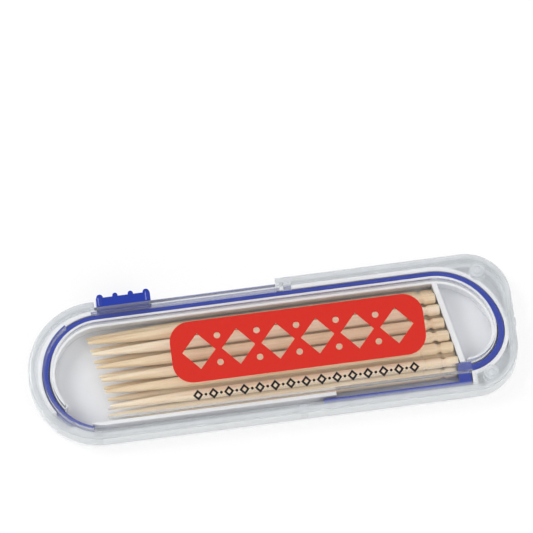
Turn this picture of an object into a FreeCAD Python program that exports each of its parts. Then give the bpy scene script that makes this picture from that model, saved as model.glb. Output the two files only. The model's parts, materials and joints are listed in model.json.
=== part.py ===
"""Pocket toothpick dispenser: white tray, clear cover, a flexible strip in a loop track, and its toothpicks.

The dispenser lies on its flat back. +X runs to the squared end, +Y to the long edge with the thumb slide,
and +Z up to the clear cover. The origin is on the flat back, in the middle of the outline. Millimetres and
degrees.
"""

import FreeCAD, Part

import math
import os

import Sketcher

SIZES = {
    # case outline, seen from above
    "case_length": 90.6,
    "case_width": 26.0,
    "square_corner_radius": 8.5,
    "case_height": 9.0,
    "parting_height": 3.0,
    "back_round": 2.0,
    "cover_round": 0.6,
    # tray and its ribs
    "floor_thick": 1.2,
    "rib_top": 5.0,
    "outer_rib_thick": 0.75,
    "inner_rib_thick": 0.9,
    "lane_rib_tip": 0.2,
    # clear cover
    "cover_plate": 1.2,
    "skirt_thick": 0.75,
    "cover_gap": 0.1,
    "lip_thick": 0.4,
    "lip_end_angle": 216.0,
    "guide_lip_out": 0.2,
    "guide_lip_start_angle": 122.0,
    # the strip and its track
    "strip_thick": 1.0,
    "strip_gap": 0.2,
    "channel_inside": 0.75,
    "channel_outside": 0.75,
    "run_inset": 2.5,
    "round_bend_shift": 0.75,
    "wide_bend_radius": 12.35,
    "tight_bend_radius": 7.0,
    "feed_length": 1.0,
    "gate_tip_angle": 254.0,
    "gate_spare_turn": 0.5,
    # travel of the thumb slide
    "travel": 22.7,
    # thumb button and the notch that it slides in
    "button_end_gap": 0.4,
    "notch_depth": 1.2,
    "notch_wall": 0.6,
    "slot_height": 1.6,
    "button_length": 10.3,
    "button_thick": 1.6,
    "button_bottom": 1.0,
    "button_height": 6.6,
    "button_gap": 0.2,
    "grip_radius": 0.55,
    "grip_pitch": 2.88,
    "grip_stand": 0.3,
    "button_soften": 0.18,
    "neck_thick": 1.3,
    "neck_inset": 0.5,
    # toothpicks
    "pick_room": 25.6,
    "pick_diameter": 2.2,
    "pick_tip_diameter": 0.6,
    "pick_taper": 17.0,
    "pick_middle_diameter": 1.6,
    "pick_gap": 0.06,
    "lane_gap_share": 0.52,
    "middle_gap_share": 0.28,
    "pick_end_play": 0.4,
    # ejection lane and the pusher
    "lane_inset": 5.2,
    "lane_play": 0.15,
    "pusher_lead": 1.95,
    "pusher_length": 2.3,
    "pusher_drop": 0.3,
    "pusher_play": 0.3,
    "bar_length": 25.4,
    "bar_thick": 0.8,
    "lane_stop_gap": 0.2,
    "end_wall_thick": 0.9,
    # exit for the toothpick, at the round end
    "exit_side_play": 0.45,
    "exit_top_play": 0.4,
    "rib_gap_start": 216.5,
    # slanted divider between the magazine and the empty pocket
    "divider_far_lead": 0.5,
    "divider_near_back": 1.35,
    "divider_thick": 1.0,
    # corner pins, tubes and lugs that locate the cover
    "corner_hollow_inset": 1.4,
    "corner_hollow_lead": 2.9,
    "pin_inset_x": 5.6,
    "pin_inset_y": 3.2,
    "pin_radius": 0.6,
    "pin_gap": 0.6,
    "boss_radius": 1.5,
    "tube_radius": 1.4,
    "tube_play": 0.05,
    "lug_width": 1.4,
    "lug_play": 0.1,
    "lug_inset": 2.2,
    "cover_rib_out": 1.05,
    "cover_rib_thick": 1.5,
    "cover_rib_gap": 0.15,
    "nub_radius": 0.7,
    "nub_stand": 0.35,
}

GRIP_COUNT = 4
PICK_SIDES = 6
PICK_HEAD = (  # the turned head: distance from its end, and share of the toothpick's diameter
    (6.3, 1.0), (6.0, 0.9), (3.4, 0.97), (2.9, 0.68), (2.5, 0.68), (2.1, 0.95), (0.0, 0.76),
)
CUT_PAST = 1.0  # how far a cut runs on past the material
NEVER = 1e-6
UP = FreeCAD.Vector(0, 0, 1)


class Dim:
    """A size with its value and the spreadsheet expression that gives it."""

    def __init__(self, value, text):
        self.value = float(value)
        self.text = text

    def _join(self, other, sign, value):
        return Dim(value, f"({self.text} {sign} {as_dim(other).text})")

    def __add__(self, other):
        return self._join(other, "+", self.value + as_dim(other).value)

    def __sub__(self, other):
        return self._join(other, "-", self.value - as_dim(other).value)

    def __mul__(self, other):
        return self._join(other, "*", self.value * as_dim(other).value)

    def __truediv__(self, other):
        return self._join(other, "/", self.value / as_dim(other).value)

    def __neg__(self):
        return Dim(-self.value, f"(0 - {self.text})")


def as_dim(size):
    """A plain number as a Dim, and a Dim as it is."""
    return size if isinstance(size, Dim) else Dim(size, repr(float(size)))


def root_of(dim):
    """The square root of a Dim."""
    return Dim(math.sqrt(dim.value), f"sqrt({dim.text})")


def make_sheet(doc):
    """The spreadsheet of driving sizes, and a Dim for each."""
    sheet = doc.addObject("Spreadsheet::Sheet", "Sizes")
    dims = {}
    for row, (alias, value) in enumerate(SIZES.items(), start=1):
        sheet.set(f"A{row}", alias)
        sheet.set(f"B{row}", repr(value))
        sheet.setAlias(f"B{row}", alias)
        dims[alias] = Dim(value, f"Sizes.{alias}")
    return dims


doc = FreeCAD.newDocument("ToothpickDispenser")
D = make_sheet(doc)

# Places that follow from the driving sizes
half_width = D["case_width"] / 2
half_length = D["case_length"] / 2
round_end_x = half_width - half_length
corner_x = half_length - D["square_corner_radius"]
corner_y = half_width - D["square_corner_radius"]
plate_under = D["case_height"] - D["cover_plate"]

run_y = half_width - D["run_inset"]
lane_y = D["lane_inset"] - half_width
half_strip = D["strip_thick"] / 2
strip_bottom = D["floor_thick"] + D["strip_gap"]
strip_top = D["rib_top"] - D["strip_gap"]
round_bend_x = round_end_x + D["round_bend_shift"]
wide_bend_x = half_length - D["run_inset"] - D["wide_bend_radius"]
wide_bend_y = run_y - D["wide_bend_radius"]
tight_bend_y = lane_y + D["tight_bend_radius"]
bend_step = D["wide_bend_radius"] - D["tight_bend_radius"]
bend_drop = tight_bend_y - wide_bend_y
tight_bend_x = wide_bend_x + root_of(bend_step * bend_step - bend_drop * bend_drop)
bend_join = math.degrees(math.atan2(bend_drop.value, (tight_bend_x - wide_bend_x).value))
gate_turn = math.degrees(D["travel"].value / run_y.value)
gate_root_angle = 90 + gate_turn + D["gate_spare_turn"].value

notch_y = half_width - D["notch_depth"]
notch_start = round_bend_x
notch_end = notch_start + D["button_length"] + D["travel"] + D["button_end_gap"] * 2
slot_top = D["parting_height"] + D["slot_height"]
lug_seats = (  # along the case, and the long side it is on
    (round_bend_x - D["lug_inset"], -1),
    (notch_end + D["lug_inset"], -1),
    (notch_end + D["lug_inset"], 1),
)
pin_x = half_length - D["pin_inset_x"]
pin_y = half_width - D["pin_inset_y"]

pick_length = D["case_length"] - D["pick_room"]
pick_radius = D["pick_diameter"] / 2
feed_end = tight_bend_x - D["feed_length"]
pusher_face = tight_bend_x - D["pusher_lead"]
pusher_back = pusher_face + D["pusher_length"]
pusher_top = strip_top - D["pusher_drop"]
end_wall_x = pusher_back + D["lane_stop_gap"]
lane_rib_face = lane_y - pick_radius - D["lane_play"]
near_rib_end = pusher_face - D["travel"] - D["lane_stop_gap"]
channel_face = run_y - D["channel_inside"]
far_rib_face = channel_face - D["inner_rib_thick"]
rib_gap_end = 180 + math.degrees(math.asin(((D["lane_rib_tip"] - lane_rib_face) / channel_face).value))

divider_far_x = wide_bend_x + D["divider_far_lead"]
divider_far_y = channel_face - D["inner_rib_thick"] / 2
divider_near_x = tight_bend_x - D["divider_near_back"]
divider_near_y = lane_y + D["channel_inside"] + D["inner_rib_thick"] / 2


# ---------------------------------------------------------------- sketches
def new_body(name):
    """An empty PartDesign body whose label names its file."""
    body = doc.addObject("PartDesign::Body", name)
    body.Label = name
    return body


def new_sketch(body, name, height, role="XY_Plane"):
    """A sketch on one of the body's own origin planes, raised to a height."""
    sketch = body.newObject("Sketcher::SketchObject", name)
    plane = [f for f in body.Origin.OriginFeatures if f.Role == role][0]
    sketch.AttachmentSupport = [(plane, "")]
    sketch.MapMode = "FlatFace"
    height = as_dim(height)
    sketch.AttachmentOffset = FreeCAD.Placement(FreeCAD.Vector(0, 0, height.value), FreeCAD.Rotation())
    sketch.setExpression("AttachmentOffset.Base.z", height.text)
    return sketch


def bind(sketch, kind, where, size):
    """Adds one dimension to the sketch and ties it to the spreadsheet."""
    size = as_dim(size)
    row = sketch.addConstraint(Sketcher.Constraint(kind, *where, size.value))
    sketch.setExpression(f"Constraints[{row}]", size.text)


def point(x, y):
    """A point of a sketch."""
    return FreeCAD.Vector(as_dim(x).value, as_dim(y).value, 0)


def on_circle(radius, angle):
    """A point on a circle about the origin."""
    turn = math.radians(angle)
    return FreeCAD.Vector(radius * math.cos(turn), radius * math.sin(turn), 0)


def draw_outline(sketch, steps):
    """Draws a closed outline of lines and arcs.

    A step is ("point", x, y) for a corner, or ("arc", x, y, radius, first, last) for an arc about x, y from
    the first to the last angle; ("circle", x, y, radius) stands alone. Lines join what stands apart. An arc
    that runs on from another arc keeps its radius and finds its middle from the joint.
    """
    if steps[0][0] == "circle":
        _, x, y, radius = steps[0]
        circle = Part.Circle(point(x, y), UP, as_dim(radius).value)
        edge = sketch.addGeometry(circle, False)
        bind(sketch, "Radius", (edge,), radius)
        bind(sketch, "DistanceX", (edge, 3), x)
        bind(sketch, "DistanceY", (edge, 3), y)
        return
    ends = []
    for step in steps:
        middle = point(step[1], step[2])
        if step[0] == "point":
            ends.append((middle, middle))
            continue
        reach = as_dim(step[3]).value
        ends.append(tuple(middle + on_circle(reach, angle) for angle in step[4:]))
    links = []
    for index, (step, (start, stop)) in enumerate(zip(steps, ends)):
        if step[0] == "arc":
            _, x, y, radius, first, last = step
            low, high = sorted((math.radians(first), math.radians(last)))
            circle = Part.Circle(point(x, y), UP, as_dim(radius).value)
            edge = sketch.addGeometry(Part.ArcOfCircle(circle, low, high), False)
            bind(sketch, "Radius", (edge,), radius)
            if start.distanceToPoint(ends[index - 1][1]) > NEVER:
                bind(sketch, "DistanceX", (edge, 3), x)
                bind(sketch, "DistanceY", (edge, 3), y)
            links.append((edge, 1, 2) if last > first else (edge, 2, 1))
        following = ends[(index + 1) % len(ends)][0]
        if stop.distanceToPoint(following) > NEVER:
            edge = sketch.addGeometry(Part.LineSegment(stop, following), False)
            links.append((edge, 1, 2))
            if step[0] == "point":
                bind(sketch, "DistanceX", (edge, 1), step[1])
                bind(sketch, "DistanceY", (edge, 1), step[2])
    for (edge, _, leave), (after, entry, _) in zip(links, links[1:] + links[:1]):
        sketch.addConstraint(Sketcher.Constraint("Coincident", edge, leave, after, entry))


def case_steps(inset):
    """The case's outline, moved inwards: one round end and two rounded corners."""
    small = D["square_corner_radius"] - inset
    return [
        ("arc", round_end_x, 0, half_width - inset, 90, 270),
        ("arc", corner_x, -corner_y, small, 270, 360),
        ("arc", corner_x, corner_y, small, 0, 90),
    ]


def track_steps(out, end_x):
    """The closed outline of the track, so far out from the strip's middle, with the lane's end at end_x."""
    tight = D["tight_bend_radius"] + out
    foot = 360 - math.degrees(math.acos(((end_x - tight_bend_x) / tight).value))
    return [
        ("arc", round_bend_x, 0, run_y + out, 90, 270),
        ("point", end_x, -(run_y + out)),
        ("arc", tight_bend_x, tight_bend_y, tight, foot, 360 + bend_join),
        ("arc", wide_bend_x, wide_bend_y, D["wide_bend_radius"] + out, bend_join, 90),
    ]


def round_bend(first, last):
    """A stretch of the strip's route round the case's round end."""
    return ("arc", round_bend_x, Dim(0, "0"), run_y, first, last)


def far_bend():
    """The strip's route round the squared end: a wide arc, then a tight one into the lane."""
    return [
        ("arc", wide_bend_x, wide_bend_y, D["wide_bend_radius"], 90, bend_join),
        ("arc", tight_bend_x, tight_bend_y, D["tight_bend_radius"], bend_join, -90),
    ]


def ribbon_steps(route, inner, outer):
    """The closed outline of a ribbon that follows a route clockwise, from one offset to another."""

    def side(offset, backwards):
        steps = []
        for step in reversed(route) if backwards else route:
            if step[0] == "arc":
                _, x, y, radius, first, last = step
                turn = (last, first) if backwards else (first, last)
                steps.append(("arc", x, y, radius + offset, *turn))
            else:
                _, x, y, outward = step
                steps.append(("point", x, y + (offset if outward > 0 else -offset)))
        return steps

    return side(outer, False) + side(inner, True)


# ---------------------------------------------------------------- features
def pad(body, name, steps, bottom, top):
    """Pads a closed outline from one height to another."""
    sketch = new_sketch(body, f"{name}_sketch", bottom)
    draw_outline(sketch, steps)
    feature = body.newObject("PartDesign::Pad", name)
    feature.Profile = sketch
    height = as_dim(top) - bottom
    feature.Length = height.value
    feature.setExpression("Length", height.text)
    body.Tip = feature
    return feature


def pocket(body, name, steps, top, bottom):
    """Cuts a closed outline down from one height to another."""
    sketch = new_sketch(body, f"{name}_sketch", top)
    draw_outline(sketch, steps)
    doc.recompute()
    before = body.Shape.Volume
    feature = body.newObject("PartDesign::Pocket", name)
    feature.Profile = sketch
    depth = as_dim(top) - bottom
    feature.Length = depth.value
    feature.setExpression("Length", depth.text)
    body.Tip = feature
    doc.recompute()
    if body.Shape.Volume > before - NEVER:
        raise RuntimeError(f"{name} cuts nothing out of {body.Label}")
    return feature


def rectangle(x0, x1, y0, y1):
    """The outline of a rectangle."""
    return [("point", x0, y0), ("point", x1, y0), ("point", x1, y1), ("point", x0, y1)]


def disc(x, y, radius):
    """The outline of a disc."""
    return [("circle", x, y, radius)]


def trim_level(body, name, height, size, kind="Fillet", measure="Radius"):
    """Rounds or chamfers every edge of the body that lies flat at one height."""
    doc.recompute()
    base = body.Tip
    edges = [
        f"Edge{i}"
        for i, edge in enumerate(base.Shape.Edges, start=1)
        if abs(edge.BoundBox.ZMin - height.value) < NEVER and abs(edge.BoundBox.ZMax - height.value) < NEVER
    ]
    feature = body.newObject(f"PartDesign::{kind}", name)
    feature.Base = (base, edges)
    setattr(feature, measure, size.value)
    feature.setExpression(measure, size.text)
    body.Tip = feature


# ---------------------------------------------------------------- the case
def notch_steps(inner_y):
    """The notch for the thumb slide, from a face of the long side out past the case."""
    return rectangle(notch_start, notch_end, inner_y, half_width + CUT_PAST)


def exit_steps():
    """The straight window that lets one toothpick out of the round end."""
    side = pick_radius + D["exit_side_play"]
    reach = run_y + D["channel_outside"]
    low = lane_y - side
    inner_x = round_bend_x - root_of(reach * reach - low * low)
    return rectangle(-half_length - CUT_PAST, inner_x, low, lane_y + side)


def lug_steps(x, side, width, inner):
    """A lug's outline on one long side, from an inner face to the skirt."""
    faces = (inner * side, (half_width - D["skirt_thick"] / 2) * side)
    near, far = sorted(faces, key=lambda face: face.value)
    return rectangle(as_dim(x) - width / 2, as_dim(x) + width / 2, near, far)


def divider_steps():
    """The slanted divider, from the far rib to the foot of the pocket's rib."""
    return [
        ("point", divider_far_x, divider_far_y),
        ("point", divider_near_x, divider_near_y),
        ("point", divider_near_x + D["divider_thick"], divider_near_y),
        ("point", divider_far_x + D["divider_thick"], divider_far_y),
    ]


def lane_rib_steps():
    """The rib between the lane and the channel, which thins out along the round bend up to the exit gap."""
    tip_x = round_bend_x + channel_face * math.cos(math.radians(rib_gap_end))
    return [
        ("point", near_rib_end, -channel_face),
        ("arc", round_bend_x, 0, channel_face, 270, rib_gap_end),
        ("point", tip_x, lane_rib_face),
        ("point", near_rib_end, lane_rib_face),
    ]


def make_back_shell():
    """The white tray: rounded back, track ribs, divider, bosses, and openings for slide and toothpick."""
    body = new_body("back_shell")
    root = D["floor_thick"] / 2
    pin_top = plate_under - D["pin_gap"]
    pad(body, "tray", case_steps(as_dim(0)), 0, D["parting_height"])
    trim_level(body, "rounded_back", as_dim(0), D["back_round"])
    small = D["square_corner_radius"] - D["corner_hollow_inset"]
    hollow_x = wide_bend_x - D["corner_hollow_lead"]
    hollow = [
        ("point", hollow_x, -(half_width - D["corner_hollow_inset"])),
        ("arc", corner_x, -corner_y, small, 270, 360),
        ("arc", corner_x, corner_y, small, 0, 90),
        ("point", hollow_x, half_width - D["corner_hollow_inset"]),
    ]
    pocket(body, "corner_hollows", hollow, D["parting_height"], D["floor_thick"])
    block = track_steps(D["channel_outside"] + D["outer_rib_thick"], end_wall_x + D["end_wall_thick"])
    pad(body, "track_block", block, root, D["rib_top"])
    pocket(body, "track_floor", track_steps(D["channel_outside"], end_wall_x), D["rib_top"], D["floor_thick"])
    inner_face = -D["channel_inside"]
    back_face = inner_face - D["inner_rib_thick"]
    loop = [round_bend(D["rib_gap_start"].value, 90)] + far_bend()
    pad(body, "inner_rib", ribbon_steps(loop, back_face, inner_face), root, D["rib_top"])
    pad(body, "lane_rib", lane_rib_steps(), root, D["rib_top"])
    pad(body, "divider", divider_steps(), root, D["rib_top"])
    for side, word in ((-1, "near"), (1, "far")):
        pad(body, f"boss_{word}", disc(pin_x, pin_y * side, D["boss_radius"]), root, D["rib_top"])
        pad(body, f"pin_{word}", disc(pin_x, pin_y * side, D["pin_radius"]), root, pin_top)
    above = D["rib_top"] + CUT_PAST
    in_channel = run_y + D["channel_outside"] / 2
    pocket(body, "notch", notch_steps(notch_y), above, -CUT_PAST)
    pocket(body, "neck_slot", notch_steps(in_channel), above, D["parting_height"])
    pocket(body, "exit_window", exit_steps(), above, D["floor_thick"])
    for number, (x, side) in enumerate(lug_seats, start=1):
        seat = lug_steps(x, side, D["lug_width"] + D["lug_play"] * 2, in_channel)
        pocket(body, f"lug_seat_{number}", seat, above, D["parting_height"])
    return body


def make_clear_cover():
    """The clear cover: plate and skirt, lips over the track, lane rib, corner tubes, lugs and the openings."""
    body = new_body("clear_cover")
    root = D["case_height"] - D["cover_plate"] / 2
    pad(body, "block", case_steps(as_dim(0)), D["parting_height"], D["case_height"])
    trim_level(body, "rounded_face", D["case_height"], D["cover_round"])
    pocket(body, "inside", case_steps(D["skirt_thick"]), plate_under, D["parting_height"])
    lip_bottom = D["rib_top"] + D["cover_gap"]
    wall_start = notch_start - D["skirt_thick"]
    wall_end = notch_end + D["skirt_thick"]
    wall_back = notch_y - D["notch_wall"]
    skirt_middle = half_width - D["skirt_thick"] / 2
    clear_of_rib = run_y + D["channel_outside"] + D["outer_rib_thick"] + D["cover_gap"]
    pad(body, "notch_wall", rectangle(notch_start, notch_end, wall_back, notch_y), slot_top, root)
    for word, x0, x1 in (("round", wall_start, notch_start), ("square", notch_end, wall_end)):
        foot, head = (rectangle(x0, x1, inner_y, skirt_middle) for inner_y in (clear_of_rib, wall_back))
        pad(body, f"cheek_foot_{word}", foot, D["parting_height"], root)
        pad(body, f"cheek_head_{word}", head, lip_bottom, root)
    lip_out = -(D["channel_inside"] + D["cover_gap"])
    lip = [round_bend(D["lip_end_angle"].value, 90)] + far_bend()
    pad(body, "lip", ribbon_steps(lip, lip_out - D["lip_thick"], lip_out), lip_bottom, root)
    over_strip = strip_top + D["cover_rib_gap"]
    guide = [round_bend(D["gate_tip_angle"].value, D["guide_lip_start_angle"].value)]
    guide_steps = ribbon_steps(guide, D["guide_lip_out"], D["guide_lip_out"] + D["lip_thick"])
    pad(body, "guide_lip", guide_steps, over_strip, root)
    rib_y = lane_y - D["cover_rib_out"]
    lane = rectangle(round_bend_x, end_wall_x, rib_y, rib_y + D["cover_rib_thick"])
    pad(body, "lane_rib", lane, over_strip, root)
    for side, word in ((-1, "near"), (1, "far")):
        pad(body, f"tube_{word}", disc(pin_x, pin_y * side, D["tube_radius"]), lip_bottom, root)
        bore = disc(pin_x, pin_y * side, D["pin_radius"] + D["tube_play"])
        pocket(body, f"tube_bore_{word}", bore, plate_under, D["parting_height"])
    for number, (x, side) in enumerate(lug_seats, start=1):
        lug = lug_steps(x, side, D["lug_width"], run_y + D["channel_outside"] + D["lug_play"])
        pad(body, f"lug_{number}", lug, D["parting_height"] + D["lug_play"], root)
    nub_end = half_length + D["nub_stand"]
    nub = rectangle(half_length - D["skirt_thick"] / 2, nub_end, -D["nub_radius"], D["nub_radius"])
    pad(body, "gate_nub", nub, D["parting_height"] + D["cover_gap"], slot_top)
    below = D["parting_height"] - CUT_PAST
    exit_top = D["floor_thick"] + D["pick_diameter"] + D["exit_top_play"]
    pocket(body, "notch", notch_steps(notch_y), D["case_height"] + CUT_PAST, below)
    pocket(body, "exit_window", exit_steps(), exit_top, below)
    return body


# ---------------------------------------------------------------- strip, button and pusher
def make_ribbon(name, route):
    """One stretch of the flexible strip, on edge in its track."""
    body = new_body(name)
    pad(body, f"{name}_pad", ribbon_steps(route, -half_strip, half_strip), strip_bottom, strip_top)
    return body


def run_stretch(x0, x1, y=run_y, outward=1):
    """A straight stretch of the route, between two places along the case."""
    return [("point", x0, y, outward), ("point", x1, y, outward)]


def make_strip():
    """The blue strip, cut where one stretch starts to bend and the next moves straight."""
    first = round_bend_x
    last = wide_bend_x
    rigid_start = first + D["feed_length"]
    rigid_end = last - D["feed_length"] - D["travel"]
    return [
        make_ribbon("exit_gate", [round_bend(D["gate_tip_angle"].value, gate_root_angle)]),
        make_ribbon("strip_round_bend", [round_bend(gate_root_angle, 90)]),
        make_ribbon("strip_round_feed", run_stretch(first, rigid_start)),
        make_ribbon("strip_top_run", run_stretch(rigid_start, rigid_end)),
        make_ribbon("strip_square_feed", run_stretch(rigid_end, last)),
        make_ribbon("strip_square_bend", far_bend()),
        make_ribbon("strip_lane_feed", run_stretch(tight_bend_x, feed_end, lane_y, -1)),
    ]


def make_thumb_button():
    """The thumb button: a block with four round grips and the neck that joins it to the strip."""
    body = new_body("thumb_button")
    start = notch_start + D["button_end_gap"]
    end = start + D["button_length"]
    back = notch_y + D["button_gap"]
    face = back + D["button_thick"]
    middle = (start + end) / 2
    steps = [("point", start, face), ("point", start, back), ("point", end, back), ("point", end, face)]
    for number in range(GRIP_COUNT):
        x = middle + D["grip_pitch"] * ((GRIP_COUNT - 1) / 2 - number)
        steps.append(("point", x + D["grip_radius"], face))
        steps.append(("arc", x, face + D["grip_stand"], D["grip_radius"], 0, 180))
        steps.append(("point", x - D["grip_radius"], face))
    top = D["button_bottom"] + D["button_height"]
    pad(body, "block", steps, D["button_bottom"], top)
    trim_level(body, "soft_top", top, D["button_soften"], "Chamfer", "Size")
    middle_z = (D["parting_height"] + slot_top) / 2
    neck_end = back + D["button_thick"] / 2
    neck = rectangle(start + D["neck_inset"], end - D["neck_inset"], run_y + half_strip, neck_end)
    pad(body, "neck", neck, middle_z - D["neck_thick"] / 2, middle_z + D["neck_thick"] / 2)
    return body


def make_pusher():
    """The pusher head on the strip's end, and the thin bar that keeps it straight in the channel."""
    head = new_body("pusher_head")
    lane_top = lane_y + half_strip
    lane_low = lane_y - half_strip
    low = -(run_y + D["channel_outside"] - D["pusher_play"])
    step = D["pusher_play"] / 2
    outline = [
        ("point", pusher_face, low),
        ("point", pusher_back, low),
        ("point", pusher_back, lane_low - step),
        ("point", feed_end, lane_low - step),
        ("point", feed_end, lane_top),
        ("point", pusher_face, lane_top),
    ]
    pad(head, "head", outline, strip_bottom, pusher_top)
    bar = new_body("guide_bar")
    bar_steps = rectangle(pusher_face - D["bar_length"], pusher_face, low, low + D["bar_thick"])
    pad(bar, "bar", bar_steps, strip_bottom, pusher_top)
    return [head, bar]


# ---------------------------------------------------------------- toothpicks
def pick_rings():
    """How far from its point, and how thick, a toothpick is where its turned shape changes."""
    head = [(pick_length - back, D["pick_diameter"] * share) for back, share in PICK_HEAD]
    return [
        (as_dim(0), D["pick_tip_diameter"]),
        (D["pick_taper"] / 2, D["pick_middle_diameter"]),
        (D["pick_taper"], D["pick_diameter"]),
        *head,
    ]


def ring_steps(diameter):
    """The outline of a toothpick across its length: a regular polygon inside its round."""
    turns = [math.radians(360 * (side + 0.5) / PICK_SIDES) for side in range(PICK_SIDES)]
    return [("point", diameter / 2 * math.cos(turn), diameter / 2 * math.sin(turn)) for turn in turns]


def make_toothpick_shape():
    """The one turned toothpick that all the others are links to, with its point at the origin."""
    body = new_body("toothpick_shape")
    rings = []
    for number, (along, diameter) in enumerate(pick_rings()):
        ring = new_sketch(body, f"ring_{number}", along, "YZ_Plane")
        draw_outline(ring, ring_steps(diameter))
        rings.append(ring)
    turned = body.newObject("PartDesign::AdditiveLoft", "turned")
    turned.Profile = rings[0]
    turned.Sections = rings[1:]
    turned.Ruled = True
    body.Tip = turned
    return body


def floor_row():
    """Places across the case of the floor row: packed tight, but for a gap at the lane and one midway."""
    diameter, gap = D["pick_diameter"].value, D["pick_gap"].value
    lane_side = (lane_y + pick_radius).value
    room = far_rib_face.value - lane_side
    count = math.floor(room / (diameter + gap))
    spare = room - count * (diameter + gap)
    row = []
    edge = lane_side
    for number in range(count):
        edge += gap
        if number == 0:
            edge += spare * D["lane_gap_share"].value
        elif number == count // 2:
            edge += spare * D["middle_gap_share"].value
        row.append(edge + diameter / 2)
        edge += diameter
    return row


def divider_face(y):
    """How far along the case the magazine side of the divider is, at a place across it."""
    share = (divider_far_y.value - y) / (divider_far_y - divider_near_y).value
    return divider_far_x.value + share * (divider_near_x - divider_far_x).value


def make_toothpicks():
    """The floor row, the row that lies in its dips, and the one in the lane that goes out next."""
    shape = make_toothpick_shape()
    gap = D["pick_gap"].value
    radius = pick_radius.value
    floor_z = D["floor_thick"].value + radius + gap / 2
    touch = 2 * radius + gap
    floor = floor_row()
    places = [(y, floor_z) for y in floor]
    row = [lane_y.value, *floor]
    for left, right in zip(row, row[1:]):
        rise = math.sqrt(touch**2 - ((right - left) / 2) ** 2)
        places.append(((left + right) / 2, floor_z + rise))
    heads = [divider_face(y - radius) - D["pick_end_play"].value for y, _ in places]
    names = [f"toothpick_{number:02d}" for number in range(1, len(places) + 1)]
    heads.append((pusher_face - D["lane_play"]).value)
    names.append("toothpick_next")
    places.append((lane_y.value, floor_z))
    links = []
    for name, head_x, (y, z) in zip(names, heads, places):
        link = doc.addObject("App::Link", name)
        link.LinkedObject = shape
        point_place = FreeCAD.Vector(head_x - pick_length.value, y, z)
        link.Placement = FreeCAD.Placement(point_place, FreeCAD.Rotation())
        links.append(link)
    return links


def check_and_export(items):
    """Stops on any failed object or bad solid, then writes each item to its own file."""
    doc.recompute()
    for step in doc.Objects:
        if {"Invalid", "Error"} & set(step.State):
            raise RuntimeError(f"{step.Label} failed: {step.State}")
    os.makedirs("parts", exist_ok=True)
    for item in items:
        shape = Part.getShape(item)
        if shape.isNull() or not shape.isValid() or len(shape.Solids) != 1:
            raise RuntimeError(f"{item.Label} isn't one good solid")
        shape.exportStep(f"parts/{item.Label}.step")
        box = shape.BoundBox
        print(f"{item.Label}: {box.XLength:.2f} x {box.YLength:.2f} x {box.ZLength:.2f} mm")


case = [make_back_shell(), make_clear_cover()]
slide = [*make_strip(), make_thumb_button(), *make_pusher()]
check_and_export(case + slide + make_toothpicks())
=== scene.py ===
"""A pocket toothpick dispenser on a white floor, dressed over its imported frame."""

import json
import logging
import math
import random
from collections.abc import Callable
from dataclasses import dataclass, field
from enum import Enum

import bmesh
import bpy
from mathutils import Matrix, Vector


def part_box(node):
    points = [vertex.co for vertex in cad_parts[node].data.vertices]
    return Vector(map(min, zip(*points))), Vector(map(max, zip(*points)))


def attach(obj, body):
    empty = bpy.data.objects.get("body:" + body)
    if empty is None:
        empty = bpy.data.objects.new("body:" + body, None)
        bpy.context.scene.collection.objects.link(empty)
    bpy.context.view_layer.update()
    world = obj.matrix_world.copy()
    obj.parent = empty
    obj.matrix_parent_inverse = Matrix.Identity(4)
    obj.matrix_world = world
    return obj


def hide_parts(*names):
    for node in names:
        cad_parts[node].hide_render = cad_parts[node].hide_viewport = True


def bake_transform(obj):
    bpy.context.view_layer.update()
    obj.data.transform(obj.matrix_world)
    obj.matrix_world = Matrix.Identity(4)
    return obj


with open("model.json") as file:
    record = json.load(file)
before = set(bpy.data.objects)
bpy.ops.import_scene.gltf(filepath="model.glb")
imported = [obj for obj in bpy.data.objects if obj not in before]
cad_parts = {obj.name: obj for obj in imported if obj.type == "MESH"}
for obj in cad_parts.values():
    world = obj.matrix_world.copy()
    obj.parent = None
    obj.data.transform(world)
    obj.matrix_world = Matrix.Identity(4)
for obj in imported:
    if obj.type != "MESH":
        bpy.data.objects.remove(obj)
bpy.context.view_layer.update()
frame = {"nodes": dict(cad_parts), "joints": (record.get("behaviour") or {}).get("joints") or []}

MM = 0.001
SHARP_ANGLE = math.radians(40)  # edges that turn by more than this are sharp
CORNER_STEPS = 8
COLOUR_A, COLOUR_B, COLOUR_OUT = 6, 7, 2  # a Mix node's sockets for colours
log = logging.getLogger("toothpick_dispenser")

Ring = list[Vector]
Outline = list[tuple[float, float]]
Tree = bpy.types.NodeTree
Node = bpy.types.Node
Socket = bpy.types.NodeSocket
Material = bpy.types.Material
Piece = bpy.types.Object


class Slot(Enum):
    """The record's material slots."""

    SHELL = "white_shell"
    COVER = "clear_cover"
    SLIDE = "blue_slide"
    PICK = "toothpick_wood"


# ------------------------------------------------------------------ small helpers
def linear(hex_colour: str) -> tuple[float, float, float, float]:
    """Turns an sRGB hex colour to linear.

    Args:
        hex_colour: Six hex digits after a hash, such as "#FFFFFF".

    Returns:
        Red, green, blue and an alpha of 1.
    """
    parts = [int(hex_colour[i : i + 2], 16) / 255 for i in (1, 3, 5)]
    red, green, blue = [c / 12.92 if c <= 0.04045 else ((c + 0.055) / 1.055) ** 2.4 for c in parts]
    return red, green, blue, 1.0


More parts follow.
